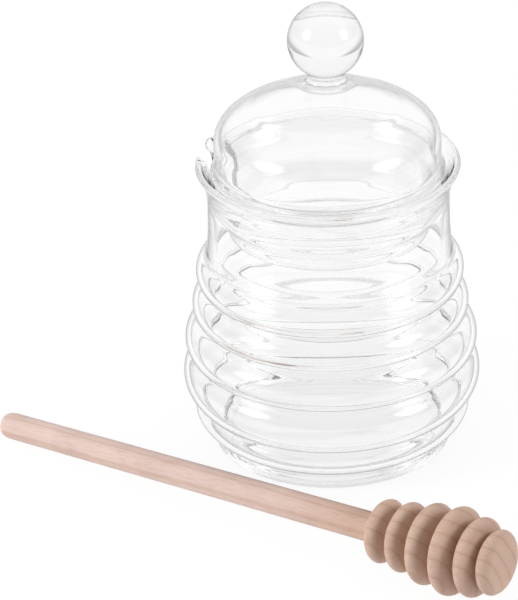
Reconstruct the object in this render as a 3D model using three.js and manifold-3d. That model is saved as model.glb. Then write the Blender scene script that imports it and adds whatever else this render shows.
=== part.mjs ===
// Glass beehive honey pot with a domed glass lid, and a turned wooden honey dipper lying in front.
// Millimetres, +Z up. The pot stands on z = 0 with its axis on the Z axis.
import * as THREE from 'three';
import { mergeVertices } from 'three/addons/utils/BufferGeometryUtils.js';
import Module from 'manifold-3d';

const wasm = await Module();
wasm.setup();

// Pot: creases between the blown ribs, from the neck down to the foot, as height and radius
const creases = [
  { z: 55.5, r: 32.8 },
  { z: 46.4, r: 33.2 },
  { z: 37.3, r: 34.8 },
  { z: 26.4, r: 36.6 },
  { z: 13.2, r: 35.3 },
  { z: 4.2, r: 30.6 },
];
// How far each rib swells out past the straight line between its creases
const ribSwell = [2.9, 3.1, 3.6, 4.1, 3.7];
const ribRoundness = 0.7;
const innerSwellShare = 0.7;
const wall = 2.0;
const neckRadius = 32.2;
const neckTop = 71;
const lipBeadRadius = 1.15;
const lipBeadCentre = { r: 34.05, z: 81.0 };
const footRadius = 32.1;
const footRounding = 1.6;
const floorThickness = 3.4;
const potSegments = 48;

// Dipper rest: a U-shaped notch through the flared lip, a little to the rear of the left side
const notchAzimuth = 166;
const notchHalfWidth = 4.9;
const potNotchBottom = 74.6;
const lidNotchTop = 84.0;
const notchPolishRadius = 1.25;
const frontBead = 1.35;
const rearBead = 2.1;
const beadRing = 33.95;
const beadHeight = 80.7;

// Lid: ball knob, short neck, dome, resting bead and a plug that goes down into the neck
const knobRadius = 10.1;
const knobCentre = 116.5;
const knobNeckRadius = 4.9;
const domeRadius = 30.1;
const domeSpring = 88.0;
const domeRise = 13.4;
const domeFullness = 2.1;
const crownLift = 3.6;
const crownReach = 20;
const crownFlat = 5.5;
const lidWall = 1.6;
const restBeadRadius = 1.35;
const restBeadCentre = { r: 29.95, z: 79.7 };
const plugRadius = 28.8;
const plugStep = 69.6;
const skirtRadius = 26.9;
const skirtBottom = 62.6;
const lidSegments = 36;

// Dipper: one turned stick, thicker at the head, with six rounded discs
const dipperLength = 162.4;
const handleEndRadius = 3.6;
const handleHeadRadius = 3.95;
const headStart = 123;
const discs = [
  { at: 126.6, r: 8.5, t: 4.5 },
  { at: 133.3, r: 9.3, t: 4.3 },
  { at: 140.6, r: 10.8, t: 4.6 },
  { at: 148.2, r: 11.7, t: 4.9 },
  { at: 154.9, r: 10.5, t: 4.4 },
  { at: 160.4, r: 8.6, t: 4.0 },
];
const coreRadius = 4.5;
const dipperEnd = { x: -90.0, y: 1.6 };
const dipperHeading = -35.4;
const dipperSegments = 22;

const radians = (degrees) => (degrees * Math.PI) / 180;
const mix = (a, b, t) => a + (b - a) * t;

// A ring of points on a circle arc in the profile plane, angles in degrees from the +r direction
function arc(centreR, centreZ, radius, from, to, steps) {
  const points = [];
  for (let i = 0; i <= steps; i += 1) {
    const a = radians(mix(from, to, i / steps));
    points.push([centreR + radius * Math.cos(a), centreZ + radius * Math.sin(a)]);
  }
  return points;
}

// Closed solid from any closed triangle geometry, turned the right way out
function toManifold(geometry) {
  const bare = geometry.clone();
  bare.deleteAttribute('normal');
  bare.deleteAttribute('uv');
  const merged = mergeVertices(bare, 1e-4);
  const index = Array.from(merged.index.array);
  const place = merged.attributes.position;
  const kept = [];
  let volume = 0;
  const a = new THREE.Vector3();
  const b = new THREE.Vector3();
  const c = new THREE.Vector3();
  for (let i = 0; i < index.length; i += 3) {
    const [p, q, r] = [index[i], index[i + 1], index[i + 2]];
    if (p === q || q === r || r === p) continue;
    kept.push([p, q, r]);
    a.fromBufferAttribute(place, p);
    b.fromBufferAttribute(place, q);
    c.fromBufferAttribute(place, r);
    volume += a.dot(b.cross(c));
  }
  const ordered = kept.flatMap(([p, q, r]) => (volume < 0 ? [p, r, q] : [p, q, r]));
  return new wasm.Manifold(new wasm.Mesh({
    numProp: 3,
    vertProperties: Float32Array.from(place.array),
    triVerts: Uint32Array.from(ordered),
  }));
}

function toGeometry(solid) {
  const mesh = solid.getMesh();
  const geometry = new THREE.BufferGeometry();
  geometry.setAttribute('position', new THREE.BufferAttribute(Float32Array.from(mesh.vertProperties), 3));
  geometry.setIndex(Array.from(mesh.triVerts));
  geometry.computeVertexNormals();
  return geometry;
}

// A profile of [radius, height] pairs, starting and ending on the axis, turned about Z
function turned(profile, segments) {
  const points = profile.map(([r, z]) => new THREE.Vector2(r, z));
  const geometry = new THREE.LatheGeometry(points, segments);
  geometry.rotateX(Math.PI / 2);
  return geometry;
}

// Rib outline between each pair of creases, moved inwards by inset and flattened by share
function ribOutline(inset, share, steps) {
  const points = [];
  ribSwell.forEach((swell, i) => {
    const top = creases[i];
    const bottom = creases[i + 1];
    for (let k = i === 0 ? 0 : 1; k <= steps; k += 1) {
      const t = k / steps;
      const bulge = swell * share * (4 * t * (1 - t)) ** ribRoundness;
      points.push([mix(top.r, bottom.r, t) - inset + bulge, mix(top.z, bottom.z, t)]);
    }
  });
  return points;
}

function potProfile() {
  const bead = lipBeadCentre;
  const outerRibs = ribOutline(0, 1, 5).reverse();
  const innerRibs = ribOutline(wall, innerSwellShare, 3).filter(([, z]) => z > 9);
  const innerNeck = neckRadius - wall;
  return [
    [0, 0],
    [footRadius - footRounding, 0],
    ...arc(footRadius - footRounding, footRounding, footRounding, -60, 35, 3),
    ...outerRibs,
    [neckRadius + 0.1, 64],
    [neckRadius, neckTop],
    [neckRadius + 0.25, 74.2],
    [neckRadius + 0.9, 76.8],
    [neckRadius + 1.75, 79],
    ...arc(bead.r, bead.z, lipBeadRadius, -35, 190, 6),
    [neckRadius - 0.35, 79],
    [neckRadius - 1.3, 77],
    [neckRadius - 1.8, 74.8],
    [innerNeck, 71.5],
    [innerNeck, 60.5],
    ...innerRibs,
    [31.0, 6.6],
    [28.6, 4.6],
    [24.5, floorThickness + 0.2],
    [0, floorThickness],
  ];
}

// Point on the dome at an angle from the axis: a shoulder fuller than an ellipse, drawn up towards the knob
function domePoint(radius, rise, angle) {
  const power = 2 / domeFullness;
  const out = radius * Math.max(Math.sin(angle), 0) ** power;
  const up = rise * Math.max(Math.cos(angle), 0) ** power;
  const drawn = Math.min(Math.max((crownReach - out) / (crownReach - crownFlat), 0), 1);
  return [out, domeSpring + up + crownLift * drawn ** 1.15];
}

function lidProfile() {
  const neckAngle = (Math.asin(knobNeckRadius / knobRadius) * 180) / Math.PI;
  const dome = [];
  const domeInside = [];
  for (let i = 0; i <= 8; i += 1) {
    const a = radians(mix(14, 90, i / 8));
    dome.push(domePoint(domeRadius, domeRise, a));
  }
  for (let i = 0; i <= 7; i += 1) {
    const a = radians(mix(90, 0, i / 7));
    domeInside.push(domePoint(domeRadius - lidWall, domeRise - lidWall, a));
  }
  domeInside[domeInside.length - 1][0] = 0;
  const knob = arc(0, knobCentre, knobRadius, 90, -90 + neckAngle, 11);
  knob[0][0] = 0;
  const rest = restBeadCentre;
  const inner = skirtRadius - lidWall;
  return [
    ...knob,
    [knobNeckRadius + 0.1, 106.6],
    [knobNeckRadius + 0.35, 105.6],
    [knobNeckRadius + 1.3, 104.75],
    ...dome,
    [domeRadius, 82.5],
    ...arc(rest.r, rest.z, restBeadRadius, 55, -70, 4),
    [plugRadius, 77.2],
    [plugRadius - 0.1, plugStep],
    [plugRadius - 0.7, plugStep - 1.6],
    [skirtRadius + 0.2, plugStep - 2.9],
    [skirtRadius, plugStep - 4.2],
    ...arc(skirtRadius - 0.8, skirtBottom + 0.8, 0.8, 0, -180, 4),
    [inner, plugStep - 4.0],
    [inner + 0.4, plugStep - 2.4],
    [plugRadius - 2.0, plugStep - 0.8],
    [plugRadius - 1.6, plugStep + 1.0],
    [plugRadius - 1.5, 78.4],
    [domeRadius - lidWall, 81.4],
    ...domeInside,
  ];
}

// Upright U-shaped bar along the notch direction, from near the axis to well outside the lip
function notchBar(endHeight, roundHeight) {
  const shape = new THREE.Shape();
  const up = Math.sign(endHeight - roundHeight);
  shape.moveTo(-notchHalfWidth, endHeight);
  for (let i = 0; i <= 12; i += 1) {
    const a = Math.PI - (Math.PI * i) / 12;
    shape.lineTo(notchHalfWidth * Math.cos(a), roundHeight - up * notchHalfWidth * Math.sin(a));
  }
  shape.lineTo(notchHalfWidth, endHeight);
  shape.closePath();
  const bar = new THREE.ExtrudeGeometry(shape, { depth: 30, bevelEnabled: false });
  bar.rotateX(Math.PI / 2);
  bar.translate(0, -12, 0);
  bar.rotateZ(radians(notchAzimuth + 90));
  return toManifold(bar);
}

// Fire-polished edge: a rounded thread of glass that follows the notch in the middle of the wall
function polishedEdge(heights, radiusAt, thread) {
  const path = heights.map(([side, z]) => {
    const r = radiusAt(z);
    const angle = radians(notchAzimuth) + side / r;
    return new THREE.Vector3(r * Math.cos(angle), r * Math.sin(angle), z);
  });
  const section = new THREE.Shape();
  section.absarc(0, 0, thread, 0, Math.PI * 2);
  const edge = new THREE.ExtrudeGeometry(section, {
    steps: path.length * 2,
    curveSegments: 8,
    bevelEnabled: false,
    extrudePath: new THREE.CatmullRomCurve3(path),
  });
  return toManifold(edge);
}

function piecewise(table) {
  return (z) => {
    for (let i = 1; i < table.length; i += 1) {
      if (z <= table[i][0] || i === table.length - 1) {
        const [z0, r0] = table[i - 1];
        const [z1, r1] = table[i];
        return mix(r0, r1, (z - z0) / (z1 - z0));
      }
    }
    return table[0][1];
  };
}

function makePot() {
  const shell = toManifold(turned(potProfile(), potSegments));
  const centre = potNotchBottom + notchHalfWidth;
  const cut = shell.subtract(notchBar(90, centre));
  const wallMiddle = piecewise([[74, 31.3], [76.5, 31.9], [79, 32.9], [82, 34.1]]);
  const line = [];
  line.push([-notchHalfWidth - 0.9, 81.2], [-notchHalfWidth - 0.4, 80.2]);
  for (let i = 0; i <= 8; i += 1) {
    const a = Math.PI + (Math.PI * i) / 8;
    line.push([(notchHalfWidth + 0.2) * Math.cos(a), centre + (notchHalfWidth + 0.2) * Math.sin(a)]);
  }
  line.push([notchHalfWidth + 0.4, 80.2], [notchHalfWidth + 0.9, 81.2]);
  const polished = polishedEdge(line, wallMiddle, notchPolishRadius);
  let pot = cut.add(polished);
  [-1, 1].forEach((side) => {
    const ball = new THREE.SphereGeometry(side > 0 ? frontBead : rearBead, 12, 8);
    const angle = radians(notchAzimuth) + (side * (notchHalfWidth + 1.3)) / beadRing;
    ball.translate(beadRing * Math.cos(angle), beadRing * Math.sin(angle), beadHeight);
    pot = pot.add(toManifold(ball));
  });
  return toGeometry(pot);
}

function makeLid() {
  const shell = toManifold(turned(lidProfile(), lidSegments));
  const centre = lidNotchTop - notchHalfWidth;
  const lid = shell.subtract(notchBar(50, centre));
  return toGeometry(lid);
}

function makeDipper() {
  const profile = [[0, 0]];
  [[0.45, 0.1], [0.8, 0.75], [0.95, 1.7], [1, 3.0]].forEach(([share, z]) => {
    profile.push([handleEndRadius * share, z]);
  });
  profile.push([mix(handleEndRadius, handleHeadRadius, 0.5), headStart / 2]);
  profile.push([handleHeadRadius, headStart]);
  discs.forEach((disc, i) => {
    const half = disc.t / 2;
    const last = i === discs.length - 1;
    const rim = half * 0.94;
    profile.push([disc.r - rim * 1.25, disc.at - half]);
    profile.push([disc.r - rim * 0.38, disc.at - half * 0.74]);
    profile.push([disc.r, disc.at - half * 0.18]);
    profile.push([disc.r - 0.05, disc.at + half * 0.3]);
    profile.push([disc.r - rim * 0.5, disc.at + half * 0.8]);
    profile.push([disc.r - rim * 1.25, disc.at + half]);
    if (!last) {
      const next = discs[i + 1];
      profile.push([coreRadius, disc.at + half + 0.25]);
      profile.push([coreRadius, next.at - next.t / 2 - 0.25]);
    }
  });
  profile.push([0, dipperLength]);
  const stick = turned(profile, dipperSegments);
  const widest = discs[3];
  const rise = Math.asin((widest.r - handleEndRadius) / widest.at);
  stick.rotateY(Math.PI / 2 - rise);
  stick.rotateZ(radians(dipperHeading));
  stick.computeBoundingBox();
  stick.translate(dipperEnd.x, dipperEnd.y, -stick.boundingBox.min.z);
  return toGeometry(toManifold(stick));
}

const clearGlass = { color: 0xeef0f0, roughness: 0.02, metalness: 0, transparent: true, opacity: 0.35 };
const paleWood = { color: 0xdcc0b2, roughness: 0.62, metalness: 0 };

const part = new THREE.Group();
part.name = 'honey_pot_with_dipper';
[
  ['pot', makePot(), clearGlass],
  ['lid', makeLid(), clearGlass],
  ['dipper', makeDipper(), paleWood],
].forEach(([name, geometry, finish]) => {
  const mesh = new THREE.Mesh(geometry, new THREE.MeshStandardMaterial({ ...finish }));
  mesh.name = name;
  part.add(mesh);
});

export default part;
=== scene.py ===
# Clear blown-glass beehive honey pot with its domed lid, and a pale turned wooden dipper in front of it.
# Profiles are lists of (radius, height) in millimetres.
import math

import bpy
from mathutils import Matrix, Vector


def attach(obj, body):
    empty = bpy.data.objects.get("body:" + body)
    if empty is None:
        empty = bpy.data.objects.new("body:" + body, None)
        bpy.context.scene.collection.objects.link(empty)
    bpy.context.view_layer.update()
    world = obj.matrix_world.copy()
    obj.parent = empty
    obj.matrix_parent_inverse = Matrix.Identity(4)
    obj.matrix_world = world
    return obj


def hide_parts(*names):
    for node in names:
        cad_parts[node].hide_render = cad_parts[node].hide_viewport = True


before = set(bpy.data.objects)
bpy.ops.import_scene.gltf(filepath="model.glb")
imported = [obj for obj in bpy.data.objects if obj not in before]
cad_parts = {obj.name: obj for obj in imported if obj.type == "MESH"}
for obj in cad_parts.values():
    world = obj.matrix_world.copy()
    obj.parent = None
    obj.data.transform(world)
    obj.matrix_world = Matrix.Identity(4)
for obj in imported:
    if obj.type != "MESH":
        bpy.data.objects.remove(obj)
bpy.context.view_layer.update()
MM = 0.001

# The pot
# One piece of clear borosilicate glass, blown into a ribbed mould, with a flat foot, a plain neck and a
# flared lip whose edge is melted round. Its wall is thin and even, so the inside follows the ribs too.
creases = [(55.5, 32.8), (46.4, 33.2), (37.3, 34.8), (26.4, 36.6), (13.2, 35.3), (4.2, 30.6)]
rib_swell = [2.9, 3.1, 3.6, 4.1, 3.7]
rib_roundness = 0.7
pot_wall = 1.35
neck_radius = 32.2
lip_bead = (34.25, 81.2, 0.95)
foot_radius = 32.1
foot_rounding = 1.6
floor_thickness = 2.0


def arc(centre_r, centre_z, radius, start, end, steps):
    """Points round a centre, from one angle to another in degrees."""
    points = []
    for i in range(steps + 1):
        a = math.radians(start + (end - start) * i / steps)
        points.append((centre_r + radius * math.cos(a), centre_z + radius * math.sin(a)))
    return points


def rib_outline(steps):
    """The moulded ribs from the neck down to the foot."""
    points = []
    for i, swell in enumerate(rib_swell):
        (z0, r0), (z1, r1) = creases[i], creases[i + 1]
        for k in range(0 if i == 0 else 1, steps + 1):
            t = k / steps
            bulge = swell * (4 * t * (1 - t)) ** rib_roundness
            points.append((r0 + (r1 - r0) * t + bulge, z0 + (z1 - z0) * t))
    return points


def inside_of(line, thickness):
    """The inner face of a wall of even thickness, for a line that runs downwards."""
    points = []
    for a, b, c in zip(line, line[1:], line[2:]):
        run = math.hypot(c[0] - a[0], c[1] - a[1])
        across = thickness * (c[1] - a[1]) / run
        up = -thickness * (c[0] - a[0]) / run
        points.append((b[0] + across, b[1] + up))
    return points


def even_line(points, spacing):
    """The same line with a point about every spacing, ends kept."""
    lengths = [0.0]
    for (r0, z0), (r1, z1) in zip(points, points[1:]):
        lengths.append(lengths[-1] + math.hypot(r1 - r0, z1 - z0))
    count = max(2, round(lengths[-1] / spacing))
    line = []
    k = 0
    for i in range(count + 1):
        s = lengths[-1] * i / count
        while k < len(points) - 2 and lengths[k + 1] < s:
            k += 1
        t = (s - lengths[k]) / max(lengths[k + 1] - lengths[k], 1e-9)
        (r0, z0), (r1, z1) = points[k], points[k + 1]
        line.append((r0 + (r1 - r0) * t, z0 + (z1 - z0) * t))
    return line


def melted(line, rounds):
    """Softens the corners of a line as flame does, ends kept."""
    for _ in range(rounds):
        inside = [
            ((a[0] + 2 * b[0] + c[0]) / 4, (a[1] + 2 * b[1] + c[1]) / 4)
            for a, b, c in zip(line, line[1:], line[2:])
        ]
        line = [line[0], *inside, line[-1]]
    return line


def turned_piece(name, line, steps):
    """Draws a profile point by point, turns it about Z and closes it."""
    bpy.ops.object.select_all(action="DESELECT")
    r, z = line[0]
    bpy.ops.mesh.primitive_plane_add(size=MM, location=(r * MM, 0, z * MM))
    piece = bpy.context.object
    piece.name = name
    bpy.ops.object.transform_apply(location=True, rotation=True, scale=True)
    bpy.ops.object.mode_set(mode="EDIT")
    bpy.ops.mesh.select_mode(type="VERT")
    bpy.ops.mesh.select_all(action="SELECT")
    bpy.ops.mesh.merge(type="CENTER")
    for (r0, z0), (r1, z1) in zip(line, line[1:]):
        step = ((r1 - r0) * MM, 0, (z1 - z0) * MM)
        bpy.ops.mesh.extrude_region_move(TRANSFORM_OT_translate={"value": step})
    bpy.ops.mesh.select_all(action="SELECT")
    bpy.ops.mesh.spin(steps=steps, angle=math.tau, center=(0, 0, 0), axis=(0, 0, 1))
    bpy.ops.mesh.select_all(action="SELECT")
    bpy.ops.mesh.remove_doubles(threshold=0.000004)
    bpy.ops.mesh.normals_make_consistent(inside=False)
    bpy.ops.object.mode_set(mode="OBJECT")
    return piece


point_spacing = 0.55
inner_neck = neck_radius - pot_wall
inner_ribs = inside_of(even_line(rib_outline(24), point_spacing), pot_wall)
inner_ribs = melted(even_line(inner_ribs, point_spacing), 6)
inner_ribs = [p for p in inner_ribs if 5.4 < p[1] < 58]
pot_line = [
    (0, 0),
    (foot_radius - foot_rounding, 0),
    *arc(foot_radius - foot_rounding, foot_rounding, foot_rounding, -60, 35, 6),
    *reversed(rib_outline(24)),
    (neck_radius + 0.1, 64),
    (neck_radius, 71),
    (neck_radius + 0.25, 74.2),
    (neck_radius + 0.9, 76.8),
    (neck_radius + 1.75, 79),
    *arc(lip_bead[0], lip_bead[1], lip_bead[2], -35, 190, 14),
    (neck_radius - 0.35, 79),
    (neck_radius - 1.3, 77),
    (neck_radius - 1.8, 74.8),
    (inner_neck, 71.5),
    (inner_neck, 58.5),
    *inner_ribs,
    (29.3, 4.3),
    (28.5, 2.9),
    (26.5, floor_thickness + 0.1),
    (0, floor_thickness),
]
pot_line = melted(even_line(pot_line, point_spacing), 1)
pot_line[0] = (0, 0)
pot_line[-1] = (0, floor_thickness)
pot = turned_piece("clear_glass_pot", pot_line, 160)

# The dipper rest in the lip
# A U cut out of the hot lip, a little to the rear of the left side. Its edge is melted into a round thread
# of glass that ends in two small beads where it meets the lip.
notch_azimuth = math.radians(166)
notch_half_width = 4.9
pot_notch_centre = 74.6 + notch_half_width
cut_start = 18
cut_length = 26


def notch_cutter(centre_z, reach):
    """A bar lying along the notch direction, round on one side and drawn out by reach on the other."""
    bpy.ops.object.select_all(action="DESELECT")
    bpy.ops.mesh.primitive_circle_add(
        vertices=48,
        radius=notch_half_width * MM,
        fill_type="NGON",
        location=(cut_start * MM, 0, centre_z * MM),
        rotation=(0, math.pi / 2, 0),
    )
    cutter = bpy.context.object
    bpy.ops.object.transform_apply(location=True, rotation=True, scale=True)
    bpy.ops.object.mode_set(mode="EDIT")
    bpy.ops.mesh.select_all(action="DESELECT")
    bpy.ops.object.mode_set(mode="OBJECT")
    for v in cutter.data.vertices:
        v.select = (v.co.z - centre_z * MM) * reach > 1e-6
    bpy.ops.object.mode_set(mode="EDIT")
    bpy.ops.transform.translate(value=(0, 0, reach * MM))
    bpy.ops.mesh.select_all(action="SELECT")
    bpy.ops.mesh.extrude_region_move(TRANSFORM_OT_translate={"value": (cut_length * MM, 0, 0)})
    bpy.ops.mesh.select_all(action="SELECT")
    bpy.ops.mesh.normals_make_consistent(inside=False)
    bpy.ops.object.mode_set(mode="OBJECT")
    cutter.rotation_euler = (0, 0, notch_azimuth)
    bpy.ops.object.transform_apply(location=True, rotation=True, scale=True)
    return cutter


def join_or_cut(piece, tool, operation):
    """Adds the tool to the piece, or takes it away from the piece."""
    bpy.ops.object.select_all(action="DESELECT")
    piece.select_set(True)
    bpy.context.view_layer.objects.active = piece
    bpy.ops.object.modifier_add(type="BOOLEAN")
    step = piece.modifiers[-1]
    step.operation = operation
    step.solver = "EXACT"
    step.object = tool
    bpy.ops.object.modifier_apply(modifier=step.name)
    bpy.data.objects.remove(tool, do_unlink=True)


def melted_edge(name, path, thread, beads):
    """A round thread of glass along a path of (across, out, up) points, with a bead on each end."""
    line = bpy.data.curves.new(name, "CURVE")
    line.dimensions = "3D"
    line.bevel_depth = thread * MM
    line.bevel_resolution = 6
    line.use_fill_caps = True
    route = line.splines.new("POLY")
    route.points.add(len(path) - 1)
    for spot, (across, out, up) in zip(route.points, path):
        spot.co = (across * MM, out * MM, up * MM, 1)
    edge = bpy.data.objects.new(name, line)
    bpy.context.scene.collection.objects.link(edge)
    bpy.ops.object.select_all(action="DESELECT")
    edge.select_set(True)
    bpy.context.view_layer.objects.active = edge
    bpy.ops.object.convert(target="MESH")
    bpy.ops.object.mode_set(mode="EDIT")
    bpy.ops.mesh.select_mode(type="VERT")
    bpy.ops.mesh.select_all(action="SELECT")
    bpy.ops.mesh.remove_doubles(threshold=0.000002)
    bpy.ops.mesh.normals_make_consistent(inside=False)
    bpy.ops.object.mode_set(mode="OBJECT")
    for end, radius in zip((path[0], path[-1]), beads):
        bpy.ops.object.select_all(action="DESELECT")
        bpy.ops.mesh.primitive_uv_sphere_add(
            segments=32, ring_count=20, radius=radius * MM, location=Vector(end) * MM
        )
        ball = bpy.context.object
        bpy.ops.object.transform_apply(location=True, rotation=True, scale=True)
        join_or_cut(edge, ball, "UNION")
    bpy.ops.object.select_all(action="DESELECT")
    edge.select_set(True)
    bpy.context.view_layer.objects.active = edge
    edge.rotation_euler = (0, 0, notch_azimuth - math.pi / 2)
    bpy.ops.object.transform_apply(location=True, rotation=True, scale=True)
    return edge


def between(value, table):
    """Reads a table of (value, radius) between its rows."""
    for (v0, r0), (v1, r1) in zip(table, table[1:]):
        if value <= v1:
            break
    return r0 + (r1 - r0) * (value - v0) / (v1 - v0)


def around_wall(across, up, wall_middle):
    """A point on the wall's middle, that far across the notch and up."""
    r = between(up, wall_middle)
    return (r * math.sin(across / r), r * math.cos(across / r), up)


def notch_path(half, ends, centre_z, way, wall_middle):
    """Along one side of a notch, round its end, and back along the other side."""
    path = [(half + out, up) for out, up in ends]
    for i in range(17):
        a = math.pi * i / 16
        path.append((half * math.cos(a), centre_z + way * half * math.sin(a)))
    path += [(-half - out, up) for out, up in reversed(ends)]
    return [around_wall(across, up, wall_middle) for across, up in path]


pot_wall_middle = [(74, 31.3), (76.5, 31.9), (79, 32.9), (82, 34.1)]
lip_ends = [(1.1, 80.7), (0.5, 80.3)]
lip_path = notch_path(notch_half_width + 0.2, lip_ends, pot_notch_centre, -1, pot_wall_middle)
join_or_cut(pot, notch_cutter(pot_notch_centre, 9), "DIFFERENCE")
lip_thread = melted_edge("lip_thread", lip_path, 0.9, (2.2, 1.1))
join_or_cut(pot, lip_thread, "UNION")

# Blown glass surface
# Clear glass has no grain, but a blown wall is never quite even: it has long shallow waves, and a very
# faint haze where fingers and cloth have been. The pot and the lid share this.


def map_range(nodes, low, high, at_low, at_high):
    """A node that turns a run of values into another run."""
    node = nodes.new("ShaderNodeMapRange")
    node.inputs["From Min"].default_value = low
    node.inputs["From Max"].default_value = high
    node.inputs["To Min"].default_value = at_low
    node.inputs["To Max"].default_value = at_high
    return node


blown = bpy.data.node_groups.new("blown_glass_surface", "ShaderNodeTree")
blown.interface.new_socket("Wave scale", in_out="INPUT", socket_type="NodeSocketFloat")
blown.interface.new_socket("Wave height", in_out="INPUT", socket_type="NodeSocketFloat")
blown.interface.new_socket("Roughness", in_out="OUTPUT", socket_type="NodeSocketFloat")
blown.interface.new_socket("Normal", in_out="OUTPUT", socket_type="NodeSocketVector")
group_in = blown.nodes.new("NodeGroupInput")
group_out = blown.nodes.new("NodeGroupOutput")
place = blown.nodes.new("ShaderNodeTexCoord")
squash = blown.nodes.new("ShaderNodeMapping")
squash.inputs["Scale"].default_value = (1, 1, 1.8)
waves = blown.nodes.new("ShaderNodeTexNoise")
waves.inputs["Detail"].default_value = 1.0
waves.inputs["Roughness"].default_value = 0.4
haze = blown.nodes.new("ShaderNodeTexNoise")
haze.inputs["Scale"].default_value = 60
haze.inputs["Detail"].default_value = 4
haze_range = map_range(blown.nodes, 0.35, 0.75, 0.0, 0.035)
bump = blown.nodes.new("ShaderNodeBump")
bump.inputs["Strength"].default_value = 1.0
tie = blown.links.new
tie(place.outputs["Object"], squash.inputs["Vector"])
tie(squash.outputs["Vector"], waves.inputs["Vector"])
tie(place.outputs["Object"], haze.inputs["Vector"])
tie(group_in.outputs["Wave scale"], waves.inputs["Scale"])
tie(group_in.outputs["Wave height"], bump.inputs["Distance"])
tie(waves.outputs["Fac"], bump.inputs["Height"])
tie(haze.outputs["Fac"], haze_range.inputs["Value"])
tie(haze_range.outputs["Result"], group_out.inputs["Roughness"])
tie(bump.outputs["Normal"], group_out.inputs["Normal"])


def clear_glass(name, wave_scale, wave_height, edge_shade_start, edge_shade_end, edge_shade_tint):
    """Clear glass that takes light out by its depth. Its colour is darkened where its wall is seen at a
    slant: painted shade for the dark edges that bent light shows there.
    """
    material = bpy.data.materials.new(name)
    material.use_nodes = True
    nodes = material.node_tree.nodes
    link = material.node_tree.links.new
    glass = nodes["Principled BSDF"]
    surface = nodes.new("ShaderNodeGroup")
    surface.node_tree = blown
    surface.inputs["Wave scale"].default_value = wave_scale
    surface.inputs["Wave height"].default_value = wave_height
    tint = nodes.new("ShaderNodeTexNoise")
    tint.inputs["Scale"].default_value = 25
    shade = nodes.new("ShaderNodeValToRGB")
    shade.color_ramp.elements[0].color = (0.974, 0.976, 0.976, 1)
    shade.color_ramp.elements[1].color = (0.99, 0.991, 0.991, 1)
    where = nodes.new("ShaderNodeTexCoord")
    link(where.outputs["Object"], tint.inputs["Vector"])
    link(tint.outputs["Fac"], shade.inputs["Fac"])
    # Painted shade: the glass colour is darkened towards the edge colour where the wall is seen at a slant,
    # standing in for the dark edge lines that bent light gives.
    slant = nodes.new("ShaderNodeLayerWeight")
    slant.inputs["Blend"].default_value = 0.5
    edge = map_range(nodes, edge_shade_start, edge_shade_end, 0.0, 1.0)
    edge_shaded = nodes.new("ShaderNodeMix")
    edge_shaded.data_type = "RGBA"
    edge_shaded.inputs["B"].default_value = (edge_shade_tint, edge_shade_tint, edge_shade_tint, 1)
    link(slant.outputs["Facing"], edge.inputs["Value"])
    link(edge.outputs["Result"], edge_shaded.inputs["Factor"])
    link(shade.outputs["Color"], edge_shaded.inputs["A"])
    link(edge_shaded.outputs["Result"], glass.inputs["Base Color"])
    link(surface.outputs["Roughness"], glass.inputs["Roughness"])
    link(surface.outputs["Normal"], glass.inputs["Normal"])
    glass.inputs["Metallic"].default_value = 0.0
    glass.inputs["Transmission Weight"].default_value = 1.0
    glass.inputs["IOR"].default_value = 1.473
    depth = nodes.new("ShaderNodeVolumeAbsorption")
    depth.inputs["Color"].default_value = (0.5, 0.51, 0.51, 1)
    depth.inputs["Density"].default_value = 1.5
    link(depth.outputs["Volume"], nodes["Material Output"].inputs["Volume"])
    return material


def finish_glass(piece, material, node):
    """Gives a glass piece its material and its place in the frame."""
    bpy.ops.object.select_all(action="DESELECT")
    piece.select_set(True)
    bpy.context.view_layer.objects.active = piece
    piece.data.materials.clear()
    piece.data.materials.append(material)
    bpy.ops.object.shade_smooth_by_angle(angle=math.radians(40))
    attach(piece, "root")
    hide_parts(node)


finish_glass(pot, clear_glass("pot_clear_glass", 38, 0.000025, 0.68, 0.86, 0.01), "pot")

# The lid
# A second blown piece: a dome with a solid ball for a knob fused on top, a rounded bead that rests in the
# flared lip, and below it a plug that goes down into the neck. It has a notch over the pot's own.
knob_radius = 10.1
knob_centre = 116.5
knob_neck = 4.9
dome_radius = 30.1
dome_spring = 88.0
dome_rise = 13.4
dome_fullness = 2.1
crown_lift = 3.6
crown_reach = 20
crown_flat = 5.5
lid_wall = 1.3
rest_bead = (29.95, 79.7, 1.35)
plug_radius = 28.8
plug_step = 69.6
skirt_radius = 26.9
skirt_bottom = 62.6
lid_notch_centre = 84.0 - notch_half_width


def dome_points(radius, rise, start, end, steps):
    """A full dome whose crown is drawn up towards the knob."""
    points = []
    for i in range(steps + 1):
        a = math.radians(start + (end - start) * i / steps)
        across = radius * max(math.sin(a), 0) ** (2 / dome_fullness)
        up = rise * max(math.cos(a), 0) ** (2 / dome_fullness)
        drawn = min(max((crown_reach - across) / (crown_reach - crown_flat), 0), 1)
        points.append((across, dome_spring + up + crown_lift * drawn**1.15))
    return points


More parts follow.
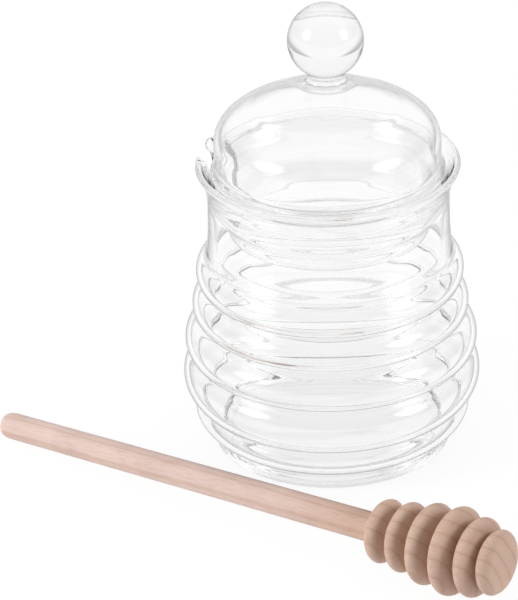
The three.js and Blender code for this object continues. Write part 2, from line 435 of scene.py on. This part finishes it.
knob_turn = math.degrees(math.asin(knob_neck / knob_radius))
skirt_inner = skirt_radius - lid_wall
lid_line = [
    *arc(0, knob_centre, knob_radius, 90, -90 + knob_turn, 48),
    (knob_neck + 0.1, 106.6),
    (knob_neck + 0.35, 105.6),
    (knob_neck + 1.3, 104.75),
    *dome_points(dome_radius, dome_rise, 14, 90, 44),
    (dome_radius, 82.5),
    *arc(rest_bead[0], rest_bead[1], rest_bead[2], 55, -70, 10),
    (plug_radius, 77.2),
    (plug_radius - 0.1, plug_step),
    (plug_radius - 0.7, plug_step - 1.6),
    (skirt_radius + 0.2, plug_step - 2.9),
    (skirt_radius, plug_step - 4.2),
    *arc(skirt_radius - 0.8, skirt_bottom + 0.8, 0.8, 0, -180, 10),
    (skirt_inner, plug_step - 4.0),
    (skirt_inner + 0.4, plug_step - 2.4),
    (plug_radius - 2.0, plug_step - 0.8),
    (plug_radius - 1.6, plug_step + 1.0),
    (plug_radius - 1.5, 78.4),
    (dome_radius - lid_wall, 81.4),
    *dome_points(dome_radius - lid_wall, dome_rise - lid_wall, 90, 0, 40),
]
lid_line[-1] = (0, lid_line[-1][1])
lid_line = melted(even_line(lid_line, point_spacing), 2)
lid_line[0] = (0, knob_centre + knob_radius)
lid = turned_piece("clear_glass_lid", lid_line, 144)
join_or_cut(lid, notch_cutter(lid_notch_centre, -26), "DIFFERENCE")
lid_wall_middle = [(64, 26.1), (66.5, 26.15), (69.5, 27.8), (71, 28.05), (78, 28.1), (82, 29.2), (86, 29.3)]
lid_ends = [(0.3, 65.6), (0.1, 67.6), (0, 70), (0, 73), (0, 76)]
lid_path = notch_path(notch_half_width + 0.1, lid_ends, lid_notch_centre, 1, lid_wall_middle)
lid_thread = melted_edge("lid_thread", lid_path, 0.65, (1.4, 1.3))
join_or_cut(lid, lid_thread, "UNION")
finish_glass(lid, clear_glass("lid_clear_glass", 34, 0.00003, 0.6, 0.9, 0.12), "lid")

# The dipper
# Turned from one stick of pale close-grained wood: a plain handle rounded at its end, and a head of six
# rounded discs cut down to a thin core. It is sanded but not varnished, and lies on the table.
dipper_length = 162.4
handle_end = 3.6
handle_head = 3.95
head_start = 123
core_radius = 4.5
discs = [
    (126.6, 8.5, 4.5),
    (133.3, 9.3, 4.3),
    (140.6, 10.8, 4.6),
    (148.2, 11.7, 4.9),
    (154.9, 10.5, 4.4),
    (160.4, 8.6, 4.0),
]
dipper_heading = math.radians(-35.4)
dipper_end = (-90.0, 1.6)
dipper_line = [(0, 0), (handle_end * 0.45, 0.1), (handle_end * 0.8, 0.75), (handle_end * 0.95, 1.7)]
dipper_line += [(handle_end, 3.0), ((handle_end + handle_head) / 2, head_start / 2)]
dipper_line += [(handle_head, head_start)]
for i, (at, r, t) in enumerate(discs):
    half = t / 2
    rim = half * 0.94
    dipper_line += [
        (r - rim * 1.25, at - half),
        (r - rim * 0.38, at - half * 0.74),
        (r, at - half * 0.18),
        (r - 0.05, at + half * 0.3),
        (r - rim * 0.5, at + half * 0.8),
        (r - rim * 1.25, at + half),
    ]
    if i < len(discs) - 1:
        dipper_line += [
            (core_radius, at + half + 0.25),
            (core_radius, discs[i + 1][0] - discs[i + 1][2] / 2 - 0.25),
        ]
dipper_line += [(0, dipper_length)]
dipper_line = melted(even_line(dipper_line, 0.5), 2)
dipper_line[0] = (0, 0)
dipper_line[-1] = (0, dipper_length)
dipper = turned_piece("turned_wood_dipper", dipper_line, 96)
widest_at, widest_radius = discs[3][:2]
dipper_rise = math.asin((widest_radius - handle_end) / widest_at)
dipper.rotation_euler = (0, math.pi / 2 - dipper_rise, 0)
bpy.ops.object.transform_apply(location=True, rotation=True, scale=True)
dipper.rotation_euler = (0, 0, dipper_heading)
bpy.ops.object.transform_apply(location=True, rotation=True, scale=True)
lowest = min(v.co.z for v in dipper.data.vertices)
dipper.location = (dipper_end[0] * MM, dipper_end[1] * MM, -lowest)
bpy.ops.object.transform_apply(location=True, rotation=True, scale=True)

wood = bpy.data.materials.new("pale_turned_wood")
wood.use_nodes = True
nodes = wood.node_tree.nodes
link = wood.node_tree.links.new
body = nodes["Principled BSDF"]
where = nodes.new("ShaderNodeTexCoord")
along = nodes.new("ShaderNodeMapping")
along.vector_type = "TEXTURE"
along.inputs["Location"].default_value = (dipper_end[0] * MM, dipper_end[1] * MM, handle_end * MM)
along.inputs["Rotation"].default_value = (0, -dipper_rise, dipper_heading)
rings = nodes.new("ShaderNodeMapping")
rings.inputs["Location"].default_value = (0, 0.022, 0.012)
rings.inputs["Scale"].default_value = (0.06, 1, 1)
growth = nodes.new("ShaderNodeTexWave")
growth.wave_type = "RINGS"
growth.rings_direction = "X"
growth.inputs["Scale"].default_value = 85
growth.inputs["Distortion"].default_value = 2.4
growth.inputs["Detail"].default_value = 2
growth.inputs["Detail Scale"].default_value = 0.8
stretch = nodes.new("ShaderNodeMapping")
stretch.inputs["Scale"].default_value = (0.09, 1, 1)
fibres = nodes.new("ShaderNodeTexNoise")
fibres.inputs["Scale"].default_value = 2600
fibres.inputs["Detail"].default_value = 4
fibres.inputs["Roughness"].default_value = 0.6
blotch = nodes.new("ShaderNodeTexNoise")
blotch.inputs["Scale"].default_value = 90
blotch.inputs["Detail"].default_value = 3


def colour_ramp(nodes, stops):
    """A ramp with a colour at each position, first and last included."""
    node = nodes.new("ShaderNodeValToRGB")
    marks = node.color_ramp.elements
    for mark, (position, colour) in zip(marks, (stops[0], stops[-1])):
        mark.position = position
        mark.color = (*colour, 1)
    for position, colour in stops[1:-1]:
        marks.new(position).color = (*colour, 1)
    return node


def multiply_colours():
    """A node that darkens one colour by another."""
    node = nodes.new("ShaderNodeMix")
    node.data_type = "RGBA"
    node.blend_type = "MULTIPLY"
    node.inputs["Factor"].default_value = 1
    return node


growth_line = (0.61, 0.442, 0.376)
pale_wood = (0.664, 0.508, 0.453)
palest_wood = (0.682, 0.53, 0.48)
white = (1, 1, 1)
base = colour_ramp(nodes, [(0.02, growth_line), (0.1, pale_wood), (1.0, palest_wood)])
flecks = colour_ramp(nodes, [(0.38, (0.91, 0.88, 0.86)), (0.52, white)])
patches = colour_ramp(nodes, [(0.3, (0.9, 0.88, 0.87)), (0.7, white)])
with_flecks = multiply_colours()
with_patches = multiply_colours()
# The whole head is darkened towards the end of the stick: partly the wood's own darker tone there, partly
# painted shade where the head is turned from the light.
with_head_tone_and_shade = multiply_colours()
with_head_tone_and_shade.inputs["B"].default_value = (0.86, 0.78, 0.69, 1)
how_far = nodes.new("ShaderNodeSeparateXYZ")
head_tone_and_shade = map_range(nodes, 0.08, 0.128, 0.0, 1.0)
head_tone_and_shade.interpolation_type = "SMOOTHSTEP"
dry = map_range(nodes, 0.0, 1.0, 0.72, 0.56)
grain_bump = nodes.new("ShaderNodeBump")
grain_bump.inputs["Strength"].default_value = 0.35
grain_bump.inputs["Distance"].default_value = 0.00006
link(where.outputs["Object"], along.inputs["Vector"])
link(along.outputs["Vector"], rings.inputs["Vector"])
link(rings.outputs["Vector"], growth.inputs["Vector"])
link(along.outputs["Vector"], stretch.inputs["Vector"])
link(stretch.outputs["Vector"], fibres.inputs["Vector"])
link(along.outputs["Vector"], blotch.inputs["Vector"])
link(growth.outputs["Fac"], base.inputs["Fac"])
link(fibres.outputs["Fac"], flecks.inputs["Fac"])
link(blotch.outputs["Fac"], patches.inputs["Fac"])
link(base.outputs["Color"], with_flecks.inputs["A"])
link(flecks.outputs["Color"], with_flecks.inputs["B"])
link(with_flecks.outputs["Result"], with_patches.inputs["A"])
link(patches.outputs["Color"], with_patches.inputs["B"])
link(along.outputs["Vector"], how_far.inputs["Vector"])
link(how_far.outputs["X"], head_tone_and_shade.inputs["Value"])
link(head_tone_and_shade.outputs["Result"], with_head_tone_and_shade.inputs["Factor"])
link(with_patches.outputs["Result"], with_head_tone_and_shade.inputs["A"])
link(with_head_tone_and_shade.outputs["Result"], body.inputs["Base Color"])
link(fibres.outputs["Fac"], dry.inputs["Value"])
link(dry.outputs["Result"], body.inputs["Roughness"])
link(fibres.outputs["Fac"], grain_bump.inputs["Height"])
link(grain_bump.outputs["Normal"], body.inputs["Normal"])
body.inputs["Specular IOR Level"].default_value = 0.3
dipper.data.materials.clear()
dipper.data.materials.append(wood)
bpy.ops.object.shade_smooth_by_angle(angle=math.radians(50))
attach(dipper, "root")
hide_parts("dipper")

# Table and light
# A white table that glows, so that shadows nearly vanish, and fades to pale grey far out on both sides. The
# room is pale, with dark sides and front. Two soft patches of light show on the glass, and two wide lamps
# light the wood.
bpy.ops.object.select_all(action="DESELECT")
bpy.ops.mesh.primitive_plane_add(size=2.8, location=(0, 0, -0.0002))
table_top = bpy.context.object
table_top.name = "table_top"
paper = bpy.data.materials.new("white_table")
paper.use_nodes = True
paper_nodes = paper.node_tree.nodes
paper_body = paper_nodes["Principled BSDF"]
paper_body.inputs["Base Color"].default_value = (0.08, 0.08, 0.08, 1)
paper_body.inputs["Roughness"].default_value = 0.9
paper_body.inputs["Specular IOR Level"].default_value = 0.0
paper_body.inputs["Emission Strength"].default_value = 0.93
spot = paper_nodes.new("ShaderNodeTexCoord")
spot_split = paper_nodes.new("ShaderNodeSeparateXYZ")
spot_side = paper_nodes.new("ShaderNodeMath")
spot_side.operation = "ABSOLUTE"
fade = colour_ramp(paper_nodes, [(0.26, white), (0.5, (0.5, 0.5, 0.5))])
paper_link = paper.node_tree.links.new
paper_link(spot.outputs["Object"], spot_split.inputs["Vector"])
paper_link(spot_split.outputs["X"], spot_side.inputs[0])
paper_link(spot_side.outputs["Value"], fade.inputs["Fac"])
paper_link(fade.outputs["Color"], paper_body.inputs["Emission Color"])
table_top.data.materials.append(paper)

studio = bpy.data.worlds.new("pale_room")
studio.use_nodes = True
bpy.context.scene.world = studio
room_nodes = studio.node_tree.nodes
room_link = studio.node_tree.links.new
sky = room_nodes["Background"]
facing = room_nodes.new("ShaderNodeTexCoord")
split = room_nodes.new("ShaderNodeSeparateXYZ")
room_link(facing.outputs["Generated"], split.inputs["Vector"])


def from_to(value, low, high, at_low, at_high):
    """Turns a value of the room's light from one run into another."""
    step = map_range(room_nodes, low, high, at_low, at_high)
    room_link(value, step.inputs["Value"])
    return step.outputs["Result"]


def combine(operation, first, second=None):
    """Puts one or two values of the room's light together."""
    step = room_nodes.new("ShaderNodeMath")
    step.operation = operation
    room_link(first, step.inputs[0])
    if second is not None:
        room_link(second, step.inputs[1])
    return step.outputs["Value"]


def glow(towards):
    """A soft round patch of light in one direction."""
    step = room_nodes.new("ShaderNodeVectorMath")
    step.operation = "DOT_PRODUCT"
    step.inputs[1].default_value = Vector(towards).normalized()
    room_link(facing.outputs["Generated"], step.inputs[0])
    return from_to(step.outputs["Value"], 0.955, 1.0, 0.0, 4.5)


sideways = from_to(combine("ABSOLUTE", split.outputs["X"]), 0.72, 0.92, 0.0, 1.0)
front = from_to(split.outputs["Y"], -0.1, -0.5, 0.0, 1.0)
above = from_to(split.outputs["Z"], -0.01, 0.05, 0.0, 1.0)
overhead = from_to(split.outputs["Z"], 0.3, 0.75, 0.0, 1.0)
dark = combine("MULTIPLY", combine("MAXIMUM", sideways, front), above)
wall = from_to(dark, 0.0, 1.0, 0.98, 0.02)
ceiling = from_to(overhead, 0.0, 1.0, 0.0, 0.35)
left_glow = glow((-0.83, -0.36, 0.42))
right_glow = glow((0.83, -0.36, 0.42))
room = combine("MAXIMUM", wall, ceiling)
room_link(combine("ADD", room, combine("ADD", left_glow, right_glow)), sky.inputs["Color"])
sky.inputs["Strength"].default_value = 1.0


def soft_box(name, place, aim, width, length, power):
    """A wide lamp that lights the wood and the table, and does not show on the glass."""
    data = bpy.data.lights.new(name, "AREA")
    data.shape = "RECTANGLE"
    data.size = width
    data.size_y = length
    data.energy = power
    lamp = bpy.data.objects.new(name, data)
    bpy.context.scene.collection.objects.link(lamp)
    lamp.location = place
    lamp.rotation_mode = "QUATERNION"
    lamp.rotation_quaternion = (Vector(aim) - Vector(place)).to_track_quat("-Z", "Y")
    lamp.visible_glossy = False
    lamp.visible_transmission = False


soft_box("left_soft_box", (-1.18, -0.51, 0.66), (0, 0, 0.06), 0.6, 0.5, 12)
soft_box("right_soft_box", (1.18, -0.51, 0.66), (0, 0, 0.06), 0.6, 0.5, 5)

scene = bpy.context.scene
scene.view_settings.view_transform = "Standard"
scene.view_settings.look = "None"
scene.view_settings.exposure = 0
scene.view_settings.gamma = 1
# Light crosses many thin walls of glass before it leaves them.
scene.cycles.max_bounces = 128
scene.cycles.transmission_bounces = 128
scene.cycles.glossy_bounces = 128
scene.cycles.diffuse_bounces = 3
scene.cycles.transparent_max_bounces = 16
scene.cycles.caustics_reflective = False
scene.cycles.caustics_refractive = False

# Camera
# A long lens about a metre off, looking down at 27 degrees, and rolled a little, as in the photograph. The
# three values below say in pixels how far off the picture lies and where the pot stands in it.
eye = Vector((0, -0.93514, 0.52249))
straight = Vector((0, 0, 0.045)) - eye
straight.normalize()
side = Vector((1, 0, 0))
head = side.cross(straight)
roll = math.radians(-1.1)
turned_side = side * math.cos(roll) + head * math.sin(roll)
turned_head = head * math.cos(roll) - side * math.sin(roll)
picture_distance = 3910
pot_right = 71.1
pot_up = 15.04
look = straight * picture_distance - turned_side * pot_right - turned_head * pot_up
look.normalize()
camera_x = look.cross(turned_head).normalized()
camera_y = camera_x.cross(look)
camera_data = bpy.data.cameras.new("camera")
camera_data.sensor_width = 36
camera_data.lens = 234.6
camera_data.clip_start = 0.05
camera_data.clip_end = 20
camera = bpy.data.objects.new("camera", camera_data)
scene.collection.objects.link(camera)
camera.location = eye
camera.rotation_mode = "QUATERNION"
camera.rotation_quaternion = Matrix((camera_x, camera_y, -look)).transposed().to_quaternion()
scene.camera = camera
